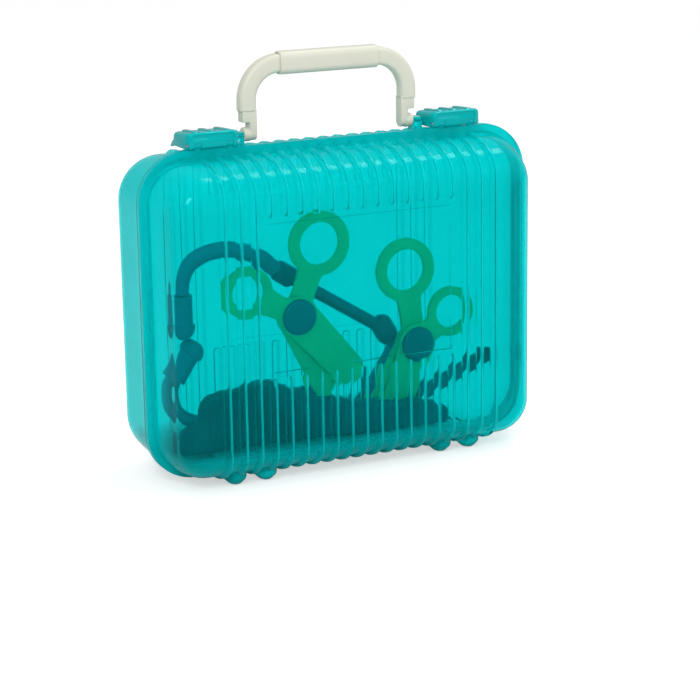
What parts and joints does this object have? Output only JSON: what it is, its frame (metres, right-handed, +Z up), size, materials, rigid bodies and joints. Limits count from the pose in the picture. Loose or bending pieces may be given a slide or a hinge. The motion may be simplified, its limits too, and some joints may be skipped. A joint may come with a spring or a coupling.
{
  "type": "toy doctor case",
  "caption": "See-through ribbed carry case of a toy doctor's kit, with a folding handle, snap latches and toy instruments inside.",
  "frame": {"origin": "centre of the bounding box's bottom, on the plane the feet stand on", "axes": "+X to the viewer's right when facing the lid, -Y out of the lid's face, +Z up towards the handle"},
  "size_m": [0.28, 0.0986, 0.2752],
  "materials": {
    "clear_teal": "see-through, glossy, moulded",
    "solid_teal": "glossy, moulded",
    "off_white": "satin, moulded",
    "steel": "drawn wire",
    "green": "semi-gloss, moulded",
    "navy": "semi-gloss, moulded",
    "dark_blue": "matt, moulded",
    "dark_blue_rubber": "soft tube, matt"
  },
  "bodies": {
    "base": {"back_shell": "clear_teal", "hinge_pin_left": "steel", "hinge_pin_right": "steel", "scissors_a_rear_half": "green", "scissors_a_front_cap": "navy", "scissors_a_rear_cap": "navy", "scissors_b_rear_half": "green", "scissors_b_front_cap": "navy", "scissors_b_rear_cap": "navy", "stethoscope_upper_tube": "dark_blue_rubber", "stethoscope_lower_tube": "dark_blue_rubber", "stethoscope_yoke": "navy", "stethoscope_collar": "navy", "ear_tip_upper": "dark_blue_rubber", "ear_tip_lower": "dark_blue_rubber", "arm_cuff": "dark_blue", "tool_handle": "dark_blue"},
    "lid": {"lid_shell": "clear_teal", "latch_pin_left": "steel", "latch_pin_right": "steel"},
    "latch_left_body": {"latch_left": "solid_teal"},
    "latch_right_body": {"latch_right": "solid_teal"},
    "handle": {"handle_bail": "off_white", "handle_grip": "off_white", "handle_pin_left": "off_white", "handle_pin_right": "off_white"},
    "scissors_a_front": {"scissors_a_front_half": "green"},
    "scissors_b_front": {"scissors_b_front_half": "green"}
  },
  "joints": [
    {"name": "lid_hinge", "type": "hinge", "parent": "base", "child": "lid", "pos_m": [0, -0.0099, 0.0028], "axis": [1, 0, 0], "range_deg": [0, 155]},
    {"name": "latch_left_hinge", "type": "hinge", "parent": "lid", "child": "latch_left_body", "pos_m": [-0.0877, -0.0117, 0.2212], "axis": [1, 0, 0], "range_deg": [0, 88]},
    {"name": "latch_right_hinge", "type": "hinge", "parent": "lid", "child": "latch_right_body", "pos_m": [0.0877, -0.0117, 0.2212], "axis": [1, 0, 0], "range_deg": [0, 88]},
    {"name": "handle_swing", "type": "hinge", "parent": "base", "child": "handle", "pos_m": [0, 0.0021, 0.2232], "axis": [1, 0, 0], "range_deg": [-85, 85]},
    {"name": "scissors_a_pivot", "type": "hinge", "parent": "base", "child": "scissors_a_front", "pos_m": [-0.0267, -0.00075, 0.0992], "axis": [0, 1, 0], "range_deg": [-25, 0]},
    {"name": "scissors_b_pivot", "type": "hinge", "parent": "base", "child": "scissors_b_front", "pos_m": [0.0677, 0.0101, 0.06649], "axis": [0, 1, 0], "range_deg": [0, 15]}
  ]
}
